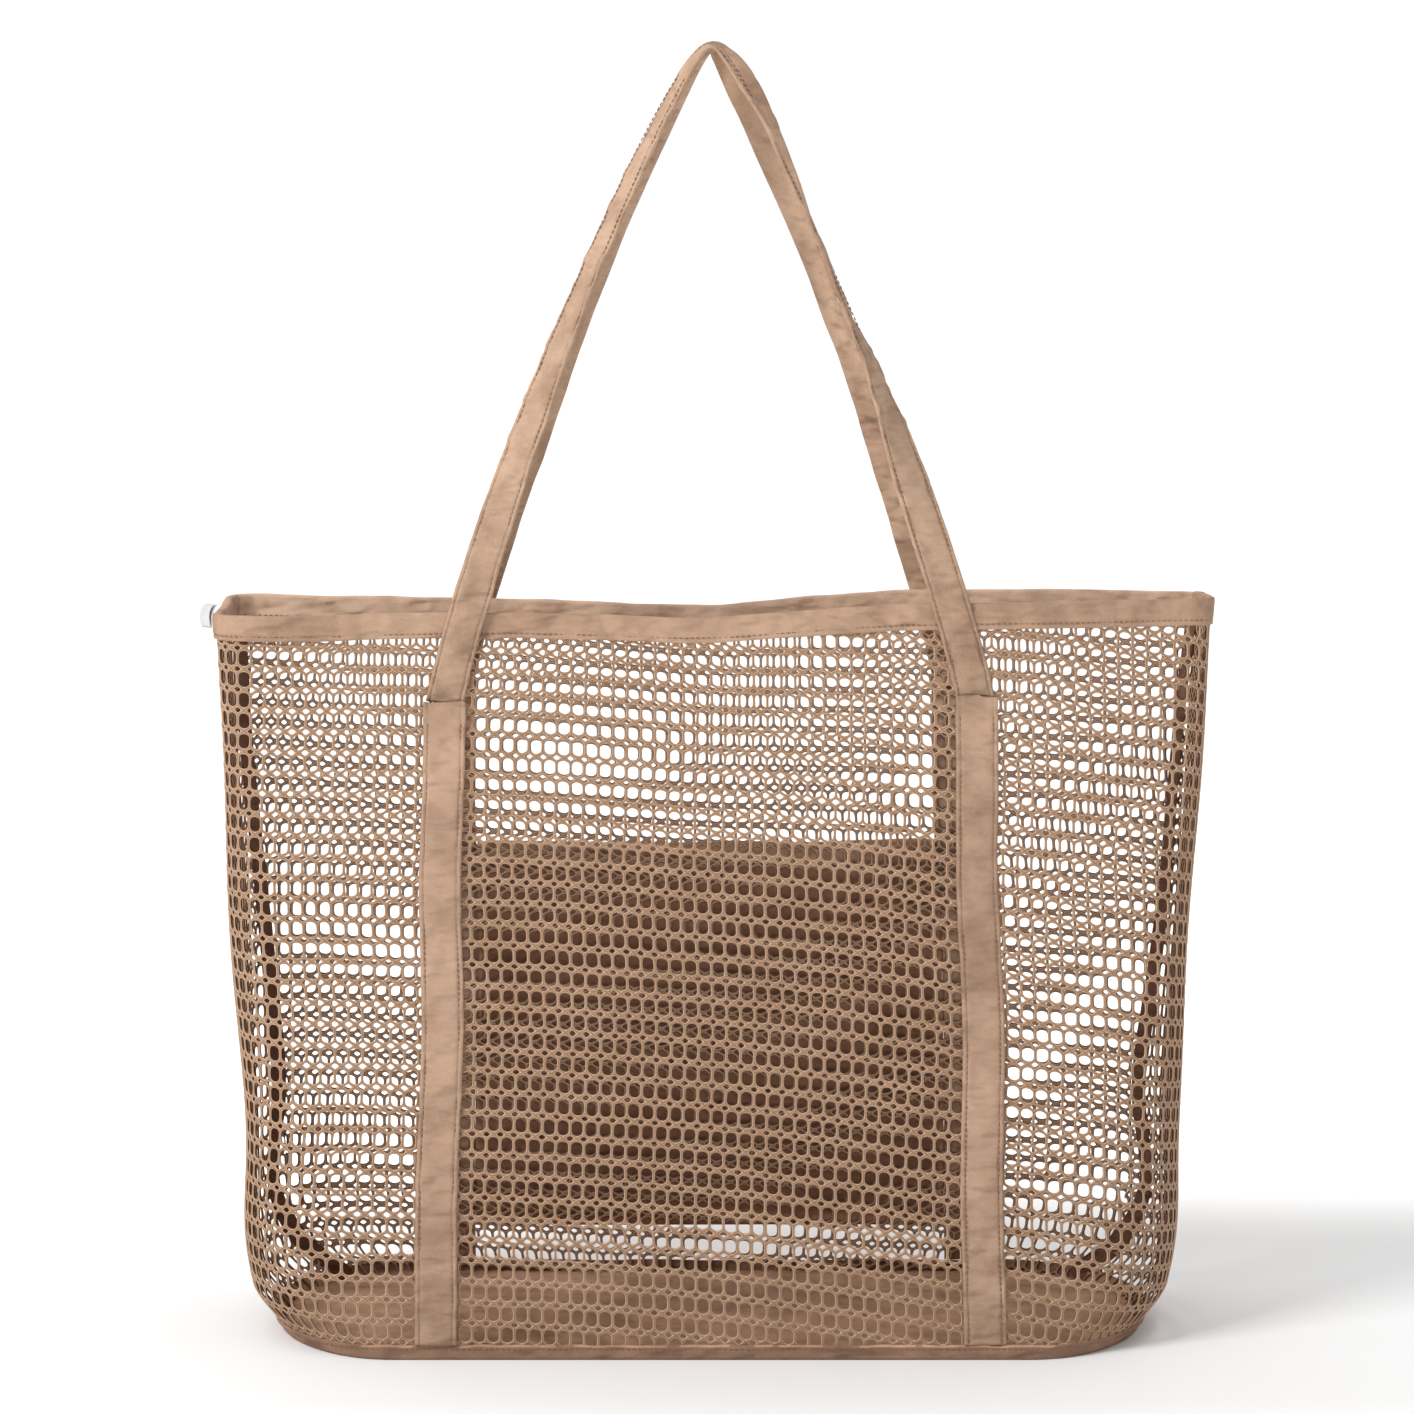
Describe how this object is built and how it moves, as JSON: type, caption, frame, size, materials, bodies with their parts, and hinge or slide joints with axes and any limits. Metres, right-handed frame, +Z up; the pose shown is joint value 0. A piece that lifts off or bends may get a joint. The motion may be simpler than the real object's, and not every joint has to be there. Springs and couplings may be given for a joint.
{
  "type": "beach tote bag",
  "caption": "Open-topped knitted-mesh beach tote: fabric base and bound rim, vertical straps, two swinging handles and a flat slip pocket outside the back.",
  "frame": {"origin": "middle of the underside of the base, on the ground", "axes": "+X to the bag's right as seen from the front, -Y towards the front, +Z up through the handles"},
  "size_m": [0.4865, 0.1532, 0.6193],
  "materials": {
    "mesh": "open knitted polyester net",
    "seam_tape": "woven tape",
    "binding": "woven tape, puckered",
    "base_cloth": "plain woven polyester",
    "webbing": "woven, topstitched",
    "handle_band": "woven, topstitched",
    "pocket_cloth": "plain woven polyester",
    "hem_tape": "woven tape",
    "label": "blank satin ribbon"
  },
  "bodies": {
    "bag": {"mesh_front": "mesh", "mesh_back": "mesh", "seam_tape_left": "seam_tape", "seam_tape_right": "seam_tape", "rim_binding_front": "binding", "rim_binding_left": "binding", "rim_binding_right": "binding", "rim_binding_back": "binding", "base_panel": "base_cloth", "base_edge_front": "base_cloth", "base_edge_left": "base_cloth", "base_edge_right": "base_cloth", "base_edge_back": "base_cloth", "strap_front_left": "webbing", "strap_front_right": "webbing", "strap_back_left": "webbing", "strap_back_right": "webbing", "pocket_panel": "pocket_cloth", "pocket_hem": "hem_tape", "side_label": "label"},
    "front_handle": {"handle_front": "handle_band"},
    "back_handle": {"handle_back": "handle_band"}
  },
  "joints": [
    {"name": "front_handle_swing", "type": "hinge", "parent": "bag", "child": "front_handle", "pos_m": [0, -0.03867, 0.309], "axis": [1, 0, 0], "range_deg": [0, 150]},
    {"name": "back_handle_swing", "type": "hinge", "parent": "bag", "child": "back_handle", "pos_m": [0, 0.03867, 0.309], "axis": [-1, 0, 0], "range_deg": [0, 150]}
  ]
}
